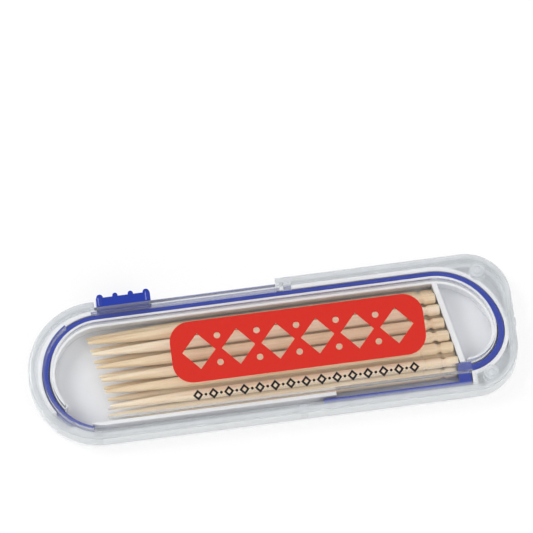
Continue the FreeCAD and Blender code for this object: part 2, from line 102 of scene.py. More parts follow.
def add_node(tree: Tree, kind: str, settings: dict | None = None) -> Node:
    """Adds one shader node with its settings and incoming links.

    Args:
        tree: The node tree that gets it.
        kind: The node's type, such as "ShaderNodeTexNoise".
        settings: Values, output sockets or nodes by input name or number, or values by attribute name. A
            node stands for its first output.

    Returns:
        The new node.
    """
    node = tree.nodes.new(kind)
    for name, value in (settings or {}).items():
        if isinstance(value, Node):
            value = value.outputs[0]
        if isinstance(value, Socket):
            tree.links.new(value, node.inputs[name])
        elif isinstance(name, int) or name in node.inputs:
            node.inputs[name].default_value = value
        else:
            setattr(node, name, value)
    return node


def new_material(name: str) -> tuple[Material, Tree]:
    """Makes an empty material.

    Args:
        name: The material's name.

    Returns:
        The material and its node tree.
    """
    material = bpy.data.materials.new(name)
    material.use_nodes = True
    material.node_tree.nodes.clear()
    return material, material.node_tree


def two_tones(tree: Tree, place: Socket, patch_mm: float, detail: float, tones: tuple[str, str]) -> Socket:
    """Lets a surface's colour drift softly between two tones.

    Args:
        tree: The material's node tree.
        place: The point's coordinates.
        patch_mm: How wide a patch of one tone is.
        detail: How many finer layers the patches have.
        tones: The two colours.

    Returns:
        The colour.
    """
    scale = 1 / (patch_mm * MM)
    drift = add_node(tree, "ShaderNodeTexNoise", {"Vector": place, "Scale": scale, "Detail": detail})
    first, second = (linear(tone) for tone in tones)
    mix = add_node(
        tree, "ShaderNodeMix", {"data_type": "RGBA", "Factor": drift, COLOUR_A: first, COLOUR_B: second}
    )
    return mix.outputs[COLOUR_OUT]


def mould_waves(tree: Tree, place: Socket, wide_mm: float, high_mm: float, strength: float) -> Node:
    """Bends a moulded surface's reflections over a few millimetres, as sink and polish marks do.

    Args:
        tree: The material's node tree.
        place: The point's coordinates.
        wide_mm: How wide a wave is.
        high_mm: How high it is.
        strength: The share of its height that shows.

    Returns:
        The node that bends the normal.
    """
    wave = add_node(tree, "ShaderNodeTexNoise", {"Vector": place, "Scale": 1 / (wide_mm * MM), "Detail": 1.0})
    return add_node(
        tree, "ShaderNodeBump", {"Height": wave, "Strength": strength, "Distance": high_mm * MM}
    )


def any_ray(tree: Tree, kinds: tuple[str, ...]) -> Socket:
    """Tells rays of some kinds from all others.

    Args:
        tree: The material's node tree.
        kinds: The kinds, by the names of their outputs.

    Returns:
        A value that is 1 for a ray of these kinds and 0 for any other.
    """
    path = add_node(tree, "ShaderNodeLightPath")
    found = path.outputs[kinds[0]]
    for kind in kinds[1:]:
        either = add_node(tree, "ShaderNodeMath", {"operation": "MAXIMUM", 0: found, 1: path.outputs[kind]})
        found = either.outputs["Value"]
    return found


def let_light_pass(tree: Tree, surface: Node, tint: str, kinds: tuple[str, ...]) -> Node:
    """Lets some kinds of rays go straight through a thin surface.

    Args:
        tree: The material's node tree.
        surface: The shader that all other rays meet.
        tint: The colour that the light takes on.
        kinds: The kinds that pass, by the names of their outputs.

    Returns:
        The shader for all rays.
    """
    passing = add_node(tree, "ShaderNodeBsdfTransparent", {"Color": linear(tint)})
    return add_node(tree, "ShaderNodeMixShader", {0: any_ray(tree, kinds), 1: surface, 2: passing})


def new_object(name: str, mesh: bpy.types.Mesh) -> Piece:
    """Puts a mesh into the scene under a name.

    Args:
        name: The object's name.
        mesh: The mesh.

    Returns:
        The object.
    """
    made = bpy.data.objects.new(name, mesh)
    bpy.context.scene.collection.objects.link(made)
    return made


def skin_rings(name: str, rings: list[Ring], smooth: bool = True) -> Piece:
    """Skins closed rings of equal counts into one capped solid.

    Args:
        name: The object's name.
        rings: The rings in order, each a list of points.
        smooth: Whether its long faces are shaded smooth.

    Returns:
        The object.
    """
    shape = bmesh.new()
    rows = [[shape.verts.new(point) for point in ring] for ring in rings]
    for near, far in zip(rows, rows[1:]):
        for i in range(len(near)):
            after = (i + 1) % len(near)
            shape.faces.new((near[i], near[after], far[after], far[i])).smooth = smooth
    for end in (list(reversed(rows[0])), rows[-1]):
        for edge in shape.faces.new(end).edges:
            edge.smooth = False
    bmesh.ops.recalc_face_normals(shape, faces=shape.faces)
    mesh = bpy.data.meshes.new(name)
    shape.to_mesh(mesh)
    shape.free()
    return new_object(name, mesh)


def soften(piece: Piece, width: float, segments: int) -> None:
    """Rounds a piece's sharp edges.

    Args:
        piece: The piece.
        width: The rounding in metres.
        segments: How many faces go round it.
    """
    bevel = piece.modifiers.new("soft_edges", "BEVEL")
    bevel.width = width
    bevel.segments = segments
    bevel.limit_method = "ANGLE"
    bevel.angle_limit = SHARP_ANGLE
    bevel.harden_normals = True


def arc(centre: tuple[float, float], radius: float, first: float, last: float, steps: int) -> Outline:
    """Points along an arc.

    Args:
        centre: The arc's centre.
        radius: Its radius.
        first: Its first angle in degrees.
        last: Its last angle in degrees.
        steps: How many chords it has.

    Returns:
        The points, both ends among them.
    """
    turns = [math.radians(first + (last - first) * i / steps) for i in range(steps + 1)]
    return [(centre[0] + radius * math.cos(t), centre[1] + radius * math.sin(t)) for t in turns]


def round_rectangle(x0: float, x1: float, y0: float, y1: float, radius: float) -> Outline:
    """The outline of a rectangle with round corners.

    Args:
        x0: Its lower end in X.
        x1: Its upper end in X.
        y0: Its lower end in Y.
        y1: Its upper end in Y.
        radius: Its corners' radius.

    Returns:
        The points, anticlockwise.
    """
    corners = ((x1, y0, 270), (x1, y1, 0), (x0, y1, 90), (x0, y0, 180))
    points: Outline = []
    for x, y, first in corners:
        inner = (x - math.copysign(radius, x - (x0 + x1) / 2), y - math.copysign(radius, y - (y0 + y1) / 2))
        points += arc(inner, radius, first, first + 90, CORNER_STEPS)
    return points


def dress(
    piece: Piece, body: str, finish: Material, stands_for: tuple[str, ...] = ()
) -> None:
    """Gives a new piece its body and finish, and hides the CAD nodes that it stands for.

    Args:
        piece: The piece.
        body: The CAD body that it rides on.
        finish: Its material.
        stands_for: The CAD nodes that it replaces.
    """
    piece.data.materials.clear()
    piece.data.materials.append(finish)
    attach(piece, body)
    if stands_for:
        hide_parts(*stands_for)
    log.info("%s rides on %s", piece.name, body)


def refinish(node: str, finish: Material) -> None:
    """Gives a CAD node that stays a better finish.

    Args:
        node: The node's name.
        finish: Its material.
    """
    piece = frame["nodes"][node]
    piece.data.materials.clear()
    piece.data.materials.append(finish)
    log.info("%s keeps its solid", node)


# ------------------------------------------------------------------ finishes
@dataclass(frozen=True)
class MouldedPlastic:
    """An injection-moulded plastic: even colour, a tight gloss and the faint waviness of its mould."""

    name: str
    colour: str
    deep_colour: str
    roughness: float
    ior: float
    shine: float = 0.5
    glow: float = 0.0
    glow_depth_mm: float = 0.6
    edge_mm: float = 0.1  # how wide its edges look rounded
    flow_mm: float = 8.0
    wave_mm: float = 4.0
    wave_height_mm: float = 0.012
    wave_strength: float = 0.5

    def make(self) -> Material:
        """Builds the material.

        Returns:
            The material.
        """
        material, tree = new_material(self.name)
        place = add_node(tree, "ShaderNodeTexCoord").outputs["Object"]
        # flow marks: the melt cools unevenly, so the colour drifts a little over several millimetres
        colour = two_tones(tree, place, self.flow_mm, 2.0, (self.colour, self.deep_colour))
        bump = mould_waves(tree, place, self.wave_mm, self.wave_height_mm, self.wave_strength)
        if self.edge_mm:
            edge = add_node(tree, "ShaderNodeBevel", {"Radius": self.edge_mm * MM, "samples": 4})
            tree.links.new(edge.outputs["Normal"], bump.inputs["Normal"])
        shader = add_node(
            tree,
            "ShaderNodeBsdfPrincipled",
            {
                "Roughness": self.roughness,
                "IOR": self.ior,
                "Specular IOR Level": self.shine,
                "Subsurface Weight": self.glow,
                "Subsurface Radius": (1.0, 1.0, 1.0),
                "Subsurface Scale": self.glow_depth_mm * MM,
                "Base Color": colour,
                "Normal": bump,
            },
        )
        add_node(tree, "ShaderNodeOutputMaterial", {"Surface": shader})
        return material


@dataclass(frozen=True)
class FrostedCorner:
    """A corner outside one bend of the track, where the cover's inner face is frosted."""

    centre: tuple[float, float]
    radius: float
    side: float  # 1 on the far edge, -1 on the near one
    start_x: float


@dataclass(frozen=True)
class ClearStyrene:
    """Crystal polystyrene, moulded clear: a mirror gloss on its plate, and frosted milky at its rim and
    corners, where the grey of its milk is painted shade.
    """

    name: str = "clear_polystyrene"
    colour: str = "#F7F8F8"
    # the frost is the cover's own, but the milk's grey is painted shade for the internal reflections that
    # grey a thick clear wall
    milk_shade_colour: str = "#D6DADC"
    passed_light: str = "#FFFFFF"
    ior: float = 1.59
    roughness: float = 0.02
    milk_roughness: float = 0.22
    rim_milk: float = 0.4
    rib_milk: float = 0.08
    corner_milk: float = 0.26
    notch_share: float = 0.4  # of the rim's milk, over the slide's notch
    full_milk_shade: float = 0.26  # from this share on, the styrene has all of its milk colour, whose grey is painted shade
    wave_mm: float = 7.0
    wave_height_mm: float = 0.01
    wave_strength: float = 0.15
    frost_mm: float = 2.4  # spark-eroded texture is finer; its blotches are drawn wide enough to show
    frost_range: tuple[float, float] = (0.3, 0.7)
    frost_least: float = 0.86  # of the rim's milk, where a blotch is thinnest
    corner_fade: float = 0.2 * MM
    start_fade: float = 1.0 * MM
    rim_wide: float = 1.9 * MM
    half_length: float = 45.3 * MM
    half_width: float = 13.0 * MM
    square_radius: float = 8.5 * MM
    round_end_x: float = -32.3 * MM
    notch_x: tuple[float, float] = (-31.6 * MM, 2.3 * MM)
    plate_underside: float = 7.7 * MM
    corners: tuple[FrostedCorner, ...] = (
        FrostedCorner((30.45 * MM, -1.85 * MM), 13.2 * MM, 1.0, 31.0 * MM),
        FrostedCorner((35.7 * MM, -0.8 * MM), 9.0 * MM, -1.0, 36.2 * MM),
    )

    def edge_distance(self, tree: Tree, place: Socket) -> Node:
        """Works out how far a point is outside the case's outline, which is less than nought inside it.

        Args:
            tree: The material's node tree.
            place: The point's coordinates.

        Returns:
            The distance in metres.
        """
        parts = add_node(tree, "ShaderNodeSeparateXYZ", {"Vector": place})
        fold = add_node(tree, "ShaderNodeMath", {"operation": "ABSOLUTE", 0: parts.outputs["Y"]})
        flat = add_node(tree, "ShaderNodeCombineXYZ", {"X": parts.outputs["X"], "Y": fold})
        squared = (self.half_length - self.square_radius, self.half_width - self.square_radius)
        ends = ((1.0, *squared, self.square_radius), (-1.0, -self.round_end_x, 0.0, self.half_width))
        reaches = {}
        for number, (side, centre_x, centre_y, radius) in enumerate(ends):
            turned = add_node(
                tree,
                "ShaderNodeVectorMath",
                {"operation": "MULTIPLY_ADD", 0: flat, 1: (side, 1.0, 0.0), 2: (-centre_x, -centre_y, 0.0)},
            )
            outside = add_node(
                tree, "ShaderNodeVectorMath", {"operation": "MAXIMUM", 0: turned, 1: (0.0, 0.0, 0.0)}
            )
            length = add_node(tree, "ShaderNodeVectorMath", {"operation": "LENGTH", 0: outside})
            reaches[number] = add_node(
                tree, "ShaderNodeMath", {"operation": "SUBTRACT", 0: length.outputs["Value"], 1: radius}
            )
        return add_node(tree, "ShaderNodeMath", {"operation": "MAXIMUM", **reaches})

    def rim(self, tree: Tree, place: Socket) -> Node:
        """Works out the milk in the blotchy rim, which the slide's notch interrupts.

        Args:
            tree: The material's node tree.
            place: The point's coordinates.

        Returns:
            The share of light that is scattered there.
        """
        near = add_node(
            tree,
            "ShaderNodeMapRange",
            {
                "Value": self.edge_distance(tree, place),
                "From Min": -self.rim_wide,
                "From Max": -self.rim_wide / 2,
                "To Max": self.rim_milk,
            },
        )
        frost = add_node(
            tree, "ShaderNodeTexNoise", {"Vector": place, "Scale": 1 / (self.frost_mm * MM), "Detail": 1.0}
        )
        low, high = self.frost_range
        blotch = add_node(
            tree,
            "ShaderNodeMapRange",
            {"Value": frost, "From Min": low, "From Max": high, "To Min": self.frost_least},
        )
        blotchy = add_node(tree, "ShaderNodeMath", {"operation": "MULTIPLY", 0: near, 1: blotch})
        parts = add_node(tree, "ShaderNodeSeparateXYZ", {"Vector": place})
        start, end = self.notch_x
        along = add_node(
            tree,
            "ShaderNodeMath",
            {"operation": "COMPARE", 0: parts.outputs["X"], 1: (start + end) / 2, 2: (end - start) / 2},
        )
        far = add_node(tree, "ShaderNodeMath", {"operation": "GREATER_THAN", 0: parts.outputs["Y"], 1: 0.0})
        notch = add_node(tree, "ShaderNodeMath", {"operation": "MULTIPLY", 0: along, 1: far})
        whole = add_node(
            tree, "ShaderNodeMapRange", {"Value": notch, "To Min": 1.0, "To Max": self.notch_share}
        )
        return add_node(tree, "ShaderNodeMath", {"operation": "MULTIPLY", 0: blotchy, 1: whole})

    def frosted_corner(self, tree: Tree, place: Socket, corner: FrostedCorner) -> Node:
        """Works out the milk in one corner of the squared end.

        Args:
            tree: The material's node tree.
            place: The point's coordinates.
            corner: The corner.

        Returns:
            The share of light that is scattered there.
        """
        flat = add_node(tree, "ShaderNodeVectorMath", {"operation": "MULTIPLY", 0: place, 1: (1.0, 1.0, 0.0)})
        reach = add_node(
            tree, "ShaderNodeVectorMath", {"operation": "DISTANCE", 0: flat, 1: (*corner.centre, 0.0)}
        )
        outside = add_node(
            tree,
            "ShaderNodeMapRange",
            {
                "Value": reach.outputs["Value"],
                "From Min": corner.radius - self.corner_fade,
                "From Max": corner.radius + self.corner_fade,
                "To Max": self.corner_milk,
            },
        )
        parts = add_node(tree, "ShaderNodeSeparateXYZ", {"Vector": place})
        started = add_node(
            tree,
            "ShaderNodeMapRange",
            {
                "Value": parts.outputs["X"],
                "From Min": corner.start_x,
                "From Max": corner.start_x + self.start_fade,
            },
        )
        turned = add_node(
            tree, "ShaderNodeMath", {"operation": "MULTIPLY", 0: parts.outputs["Y"], 1: corner.side}
        )
        on_side = add_node(tree, "ShaderNodeMath", {"operation": "GREATER_THAN", 0: turned, 1: 0.0})
        share = add_node(tree, "ShaderNodeMath", {"operation": "MULTIPLY", 0: outside, 1: started})
        return add_node(tree, "ShaderNodeMath", {"operation": "MULTIPLY", 0: share, 1: on_side})

    def milk(self, tree: Tree, place: Socket) -> Node:
        """Works out the milk in the whole cover, from its ribs, rim and corners.

        Args:
            tree: The material's node tree.
            place: The point's coordinates.

        Returns:
            The share of light that the styrene scatters.
        """
        parts = add_node(tree, "ShaderNodeSeparateXYZ", {"Vector": place})
        below = add_node(
            tree, "ShaderNodeMath", {"operation": "LESS_THAN", 0: parts.outputs["Z"], 1: self.plate_underside}
        )
        most = add_node(tree, "ShaderNodeMath", {"operation": "MULTIPLY", 0: below, 1: self.rib_milk})
        for share in (self.rim(tree, place), *(self.frosted_corner(tree, place, c) for c in self.corners)):
            most = add_node(tree, "ShaderNodeMath", {"operation": "MAXIMUM", 0: most, 1: share})
        return most

    def make(self) -> Material:
        """Builds the material.

        Returns:
            The material.
        """
        material, tree = new_material(self.name)
        place = add_node(tree, "ShaderNodeTexCoord").outputs["Object"]
        bump = mould_waves(tree, place, self.wave_mm, self.wave_height_mm, self.wave_strength)
        milk = self.milk(tree, place)
        rough = add_node(
            tree,
            "ShaderNodeMapRange",
            {
                "Value": milk,
                "From Max": self.rim_milk,
                "To Min": self.roughness,
                "To Max": self.milk_roughness,
            },
        )
        clear = add_node(tree, "ShaderNodeMath", {"operation": "SUBTRACT", 0: 1.0, 1: milk})
        # the milky parts grey towards the milk colour: painted shade laid over the real frost
        dim = add_node(tree, "ShaderNodeMapRange", {"Value": milk, "From Max": self.full_milk_shade})
        body = add_node(
            tree,
            "ShaderNodeMix",
            {
                "data_type": "RGBA",
                "Factor": dim,
                COLOUR_A: linear(self.colour),
                COLOUR_B: linear(self.milk_shade_colour),
            },
        )
        shader = add_node(
            tree,
            "ShaderNodeBsdfPrincipled",
            {
                "Base Color": body.outputs[COLOUR_OUT],
                "Roughness": rough,
                "IOR": self.ior,
                "Transmission Weight": clear,
                "Normal": bump,
            },
        )
        # light passes the clear wall on its way to what is inside, and on its way out again
        wall = let_light_pass(tree, shader, self.passed_light, ("Is Shadow Ray", "Is Diffuse Ray"))
        add_node(tree, "ShaderNodeOutputMaterial", {"Surface": wall})
        return material


@dataclass(frozen=True)
class TurnedBirch:
    """Birch dowel, turned and tumbled: pale matt wood with fine long grain and darker pores."""

    seed: int
    colour: str
    grain_colour: str
    grain_mm: float = 0.56  # real birch grain is finer; this is as coarse as it needs to be to show
    grain_stretch: float = 26.0  # how much longer a grain line is than wide
    grain_shift: float = 0.37  # from one seed's piece of grain to the next one's
    grain_range: tuple[float, float] = (0.32, 0.62)
    grain_depth_mm: float = 0.02
    roughness: float = 0.62
    ior: float = 1.5
    shine: float = 0.35
    glow: float = 0.5
    glow_depth_mm: float = 0.8

    def make(self) -> Material:
        """Builds the material.

        Returns:
            The material.
        """
        material, tree = new_material(f"turned_birch_{self.seed}")
        place = add_node(tree, "ShaderNodeTexCoord")
        along = add_node(
            tree,
            "ShaderNodeMapping",
            {
                "Vector": place.outputs["Object"],
                "Scale": (1 / self.grain_stretch, 1.0, 1.0),
                "Location": (self.seed * self.grain_shift, 0.0, 0.0),
            },
        )
        grain = add_node(
            tree,
            "ShaderNodeTexNoise",
            {"Vector": along, "Scale": 1 / (self.grain_mm * MM), "Detail": 5.0, "Roughness": 0.6},
        )
        ramp = add_node(tree, "ShaderNodeValToRGB", {"Fac": grain})
        tones = (self.grain_colour, self.colour)
        for stop, position, tone in zip(ramp.color_ramp.elements, self.grain_range, tones):
            stop.position = position
            stop.color = linear(tone)
        bump = add_node(
            tree,
            "ShaderNodeBump",
            {"Height": grain, "Strength": 0.5, "Distance": self.grain_depth_mm * MM},
        )
        shader = add_node(
            tree,
            "ShaderNodeBsdfPrincipled",
            {
                "Roughness": self.roughness,
                "IOR": self.ior,
                "Specular IOR Level": self.shine,
                "Subsurface Weight": self.glow,
                "Subsurface Radius": (1.0, 0.75, 0.5),
                "Subsurface Scale": self.glow_depth_mm * MM,
                "Base Color": ramp,
                "Normal": bump,
            },
        )
        add_node(tree, "ShaderNodeOutputMaterial", {"Surface": shader})
        return material


@dataclass(frozen=True)
class PadPrintInk:
    """Pad-print ink on clear plastic: flat colour with the faint mottle of a wet film."""

    name: str
    colour: str
    mottled_colour: str
    roughness: float = 0.4
    ior: float = 1.5
    shine: float = 0.25
    mottle_mm: float = 0.9
    passed_light: str = "#F0EAE6"

    def make(self) -> Material:
        """Builds the material.

        Returns:
            The material.
        """
        material, tree = new_material(self.name)
        place = add_node(tree, "ShaderNodeTexCoord").outputs["Object"]
        shader = add_node(
            tree,
            "ShaderNodeBsdfPrincipled",
            {
                "Base Color": two_tones(tree, place, self.mottle_mm, 3.0, (self.colour, self.mottled_colour)),
                "Roughness": self.roughness,
                "IOR": self.ior,
                "Specular IOR Level": self.shine,
            },
        )
        # the film is thin, and most of the light passes it on its way to the filling
        film = let_light_pass(tree, shader, self.passed_light, ("Is Shadow Ray",))
        add_node(tree, "ShaderNodeOutputMaterial", {"Surface": film})
        return material


@dataclass(frozen=True)
class PaperSweep:
    """Matt white sweep paper, white to the camera, that still takes a soft shadow."""

    name: str = "white_sweep_paper"
    colour: str = "#F5F5F5"
    roughness: float = 0.9
    glow: float = 0.75  # the share of plain white in what is seen of it

    def make(self) -> Material:
        """Builds the material.

        Returns:
            The material.
        """
        material, tree = new_material(self.name)
        paper = add_node(
            tree,
            "ShaderNodeBsdfPrincipled",
            {"Base Color": linear(self.colour), "Roughness": self.roughness},
        )
        white = add_node(tree, "ShaderNodeEmission", {"Color": (1, 1, 1, 1), "Strength": 1.0})
        seen = any_ray(tree, ("Is Camera Ray", "Is Glossy Ray", "Is Transmission Ray"))
        share = add_node(tree, "ShaderNodeMath", {"operation": "MULTIPLY", 0: seen, 1: self.glow})
        mix = add_node(tree, "ShaderNodeMixShader", {0: share, 1: paper, 2: white})
        add_node(tree, "ShaderNodeOutputMaterial", {"Surface": mix})
        return material


# opaque polystyrene scatters light a little under its gloss, so the tray's shadows are soft and pale
WHITE_STYRENE = MouldedPlastic(
    "white_polystyrene", "#EFF0F3", "#E9EAEE", roughness=0.22, ior=1.59, glow=0.6, glow_depth_mm=1.4
)
# polypropylene bends without breaking, and gives the strip an even blue with a soft gloss
BLUE_POLYPROPYLENE = MouldedPlastic(
    "blue_polypropylene", "#203AA4", "#1A3196", roughness=0.22, ior=1.49, edge_mm=0.0
)
RED_INK = PadPrintInk("red_print", "#CE2A1E", "#C7261B")
BLACK_INK = PadPrintInk("black_print", "#17171A", "#1E1E22")
BIRCHES = (
    TurnedBirch(1, "#F0DEC3", "#DFC8A6"),
    TurnedBirch(2, "#EDD9BB", "#DBC19D"),
    TurnedBirch(3, "#F2E2CB", "#E3CEAF"),
    TurnedBirch(4, "#EAD5B6", "#D7BC96"),
)


# ------------------------------------------------------------------ sub-assemblies
@dataclass
class Case:
    """The white tray and the clear cover, whose solids have their real shapes already."""

    def build(self) -> None:
        """Dresses both halves of the case."""
        refinish("back_shell", WHITE_STYRENE.make())
        refinish("clear_cover", ClearStyrene().make())


@dataclass
class Strip:
    """The blue strip in its track, built in stretches."""

    wide_bend_radius: float = 12.35 * MM
    tight_bend_radius: float = 7.0 * MM
    bend_start: float = 90.0  # in degrees, where the straight run meets the bends at its ends
    gate_tip_angle: float = 254.0
    gate_spare_turn: float = 0.5
    edge_round: float = 0.14 * MM
    outward_press: float = 0.15 * MM  # added on its outer side, where the springy strip presses on its track
    bend_pieces: int = 12
    arc_step: float = 3.0
    centre_x: float = field(init=False)
    radius: float = field(init=False)
    half_thick: float = field(init=False)
    bottom: float = field(init=False)
    top: float = field(init=False)
    lane_y: float = field(init=False)
    travel: float = field(init=False)

    def __post_init__(self) -> None:
        """Reads the track's place from the frame."""
        low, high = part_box("strip_top_run")
        self.bottom, self.top = low.z, high.z
        self.half_thick = (high.y - low.y) / 2
        self.radius = (high.y + low.y) / 2
        self.centre_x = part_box("strip_round_feed")[0].x
        lane_low, lane_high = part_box("strip_lane_feed")
        self.lane_y = (lane_low.y + lane_high.y) / 2
        joints = {joint["name"]: joint for joint in frame["joints"]}
        self.travel = joints["thumb_slide"]["range_m"][1]

    @property
    def gate_root_angle(self) -> float:
        """Where the rigid tail starts on the round bend, in degrees."""
        return self.bend_start + math.degrees(self.travel / self.radius) + self.gate_spare_turn

    def section(self, at: Vector, outward: Vector) -> Ring:
        """The strip's cross-section at a place on its route.

        Args:
            at: The place, at the strip's bottom.
            outward: The unit vector across the strip, away from the track's middle.

        Returns:
            The ring of points, with rounded corners.
        """
        outer = self.half_thick + self.outward_press
        flat = round_rectangle(-self.half_thick, outer, 0, self.top - self.bottom, self.edge_round)
        return [at + outward * across + Vector((0, 0, up)) for across, up in flat]

    def bend_rings(self, centre: tuple[float, float], radius: float, first: float, last: float) -> list[Ring]:
        """Rings of the strip along one arc of the track.

        Args:
            centre: The arc's centre.
            radius: The arc's radius, to the strip's middle.
            first: Its first angle in degrees.
            last: Its last angle in degrees.

        Returns:
            The rings in order.
        """
        count = max(2, round(abs(last - first) / self.arc_step))
        rings = []
        for i in range(count + 1):
            turn = math.radians(first + (last - first) * i / count)
            outward = Vector((math.cos(turn), math.sin(turn), 0))
            at = Vector((centre[0], centre[1], self.bottom)) + outward * radius
            rings.append(self.section(at, outward))
        return rings

    def straight_rings(self, x0: float, x1: float, y: float) -> list[Ring]:
        """Two rings at the ends of a straight stretch."""
        outward = Vector((0, math.copysign(1, y), 0))
        return [self.section(Vector((x, y, self.bottom)), outward) for x in (x0, x1)]

    def build(self) -> None:
        """Builds every stretch, and ties the rigid ones to the bodies that they ride on."""
        blue = BLUE_POLYPROPYLENE.make()
        self.build_rigid(blue)
        self.build_feeds(blue)
        self.build_round_bend(blue)
        for node in ("pusher_head", "guide_bar"):
            refinish(node, blue)

    def build_rigid(self, blue: Material) -> None:
        """Builds the stretches that keep their shape: the straight run, the tail and the squared bend.

        Args:
            blue: The strip's finish.
        """
        low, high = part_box("strip_top_run")
        run = skin_rings("strip_run", self.straight_rings(low.x, high.x, self.radius))
        dress(run, "slide", blue, ("strip_top_run",))
        centre = (self.centre_x, 0.0)
        rings = self.bend_rings(centre, self.radius, self.gate_tip_angle, self.gate_root_angle)
        dress(skin_rings("strip_tail", rings), "gate", blue, ("exit_gate",))
        wide = (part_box("strip_square_feed")[1].x, self.radius - self.wide_bend_radius)
        tight = (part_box("strip_lane_feed")[1].x, self.lane_y + self.tight_bend_radius)
        # the two arcs are tangent where the line through their centres crosses them
        join = math.degrees(math.atan2(tight[1] - wide[1], tight[0] - wide[0]))
        rings = self.bend_rings(wide, self.wide_bend_radius, self.bend_start, join)
        rings += self.bend_rings(tight, self.tight_bend_radius, join, -self.bend_start)[1:]
        bend = skin_rings("strip_squared_end", rings)
        dress(bend, "case", blue, ("strip_square_bend",))

    def build_feeds(self, blue: Material) -> None:
        """Builds the straight stretches that run from the case to the slide and the pusher.

        Args:
            blue: The strip's finish.
        """
        feeds = (
            ("strip_round_feed", "slide", self.radius, False),
            ("strip_square_feed", "slide", self.radius, True),
            ("strip_lane_feed", "pusher", self.lane_y, True),
        )
        for node, moving, y, case_at_high in feeds:
            low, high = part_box(node)
            piece = skin_rings(f"{node}_skin", self.straight_rings(low.x, high.x, y))
            piece.data.materials.append(blue)
            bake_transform(piece)
            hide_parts(node)
            log.info("%s runs between case and %s", piece.name, moving)

    def build_round_bend(self, blue: Material) -> None:
        """Builds the round bend along its arc, in short pieces that each take an even share of the turn.

        Args:
            blue: The strip's finish.
        """
        start_angle, turn = self.bend_start, self.gate_root_angle - self.bend_start
        shares = [i / self.bend_pieces for i in range(self.bend_pieces + 1)]
        for i in range(self.bend_pieces):
            first, last = (start_angle + turn * share for share in shares[i : i + 2])
            rings = self.bend_rings((self.centre_x, 0.0), self.radius, first, last)
            piece = skin_rings(f"strip_round_{i + 1:02d}", rings)
            piece.data.materials.append(blue)
            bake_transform(piece)
            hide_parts("strip_round_bend")
        log.info("the round bend has %d pieces", self.bend_pieces)


@dataclass
class ThumbButton:
    """The thumb button, a block with four round grips, and the neck that joins it to the strip."""

    grip_radii: tuple[float, ...] = (0.62 * MM, 0.5 * MM, 0.5 * MM, 0.62 * MM)
    grip_pitch: float = 2.88 * MM
    grip_high: float = 0.64 * MM
    grip_steps: int = 10
    sunk: float = 1.0 * MM  # how deep the block's inner face lies in the case's edge
    draft: float = 0.12 * MM  # how much narrower the block's top is than its foot, at each end
    edge_round: float = 0.26 * MM
    edge_steps: int = 3
    end_rib_stand: float = 0.2 * MM
    end_rib_share: float = 0.96  # of the end grips' radius
    end_rib_steps: int = 16
    neck_height: float = 1.3 * MM
    neck_inset: float = 0.5 * MM
    neck_round: float = 0.1 * MM
    neck_middle_z: float = 3.8 * MM

    def outline(self, x0: float, x1: float, back: float, face: float) -> Outline:
        """The block's outline with its grips.

        Args:
            x0: Its end at the round end.
            x1: Its other end.
            back: Its face towards the case.
            face: Its outer face between the grips.

        Returns:
            The points, anticlockwise.
        """
        points: Outline = [(x0, back), (x1, back), (x1, face)]
        middle = (x0 + x1) / 2
        for number, radius in enumerate(self.grip_radii):
            x = middle + self.grip_pitch * ((len(self.grip_radii) - 1) / 2 - number)
            points.append((x + radius, face))
            points += arc((x, face + self.grip_high - radius), radius, 0, 180, self.grip_steps)
            points.append((x - radius, face))
        points.append((x0, face))
        return points

    def build(self) -> None:
        """Builds the button and its neck."""
        blue = BLUE_POLYPROPYLENE.make()
        low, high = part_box("thumb_button")
        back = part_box("back_shell")[1].y - self.sunk
        face = high.y - self.grip_high
        rings = []
        for z, spread in ((low.z, 0.0), (high.z, self.draft)):
            outline = self.outline(low.x + spread, high.x - spread, back, face)
            rings.append([Vector((x, y, z)) for x, y in outline])
        button = skin_rings("button_block", rings, smooth=False)
        soften(button, self.edge_round, self.edge_steps)
        dress(button, "slide", blue, ("thumb_button",))
        reach = (back + self.edge_round, face)
        self.build_end_ribs(low.x + self.draft, high.x - self.draft, reach, high.z, blue)
        neck_y = (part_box("strip_top_run")[1].y, (back + face) / 2)
        flat = round_rectangle(low.x + self.neck_inset, high.x - self.neck_inset, *neck_y, self.neck_round)
        levels = [self.neck_middle_z - self.neck_height / 2, self.neck_middle_z + self.neck_height / 2]
        neck = skin_rings("button_neck", [[Vector((x, y, z)) for x, y in flat] for z in levels])
        dress(neck, "slide", blue)

    def build_end_ribs(
        self, x0: float, x1: float, reach: tuple[float, float], top: float, blue: Material
    ) -> None:
        """Builds the low round ribs that run on from the end grips over the block's top.

        Args:
            x0: The block's end at the round end.
            x1: Its other end.
            reach: From where to where the ribs run, in Y.
            top: The block's top.
            blue: The finish.
        """
        radius = self.grip_radii[0]
        middle_z = top + self.end_rib_stand - radius
        for number, x in enumerate((x0 + radius, x1 - radius), start=1):
            profile = arc((x, middle_z), radius * self.end_rib_share, 0, 180, self.end_rib_steps)
            rings = [[Vector((across, y, up)) for across, up in profile] for y in reach]
            rib = skin_rings(f"button_end_rib_{number}", rings)
            dress(rib, "slide", blue)


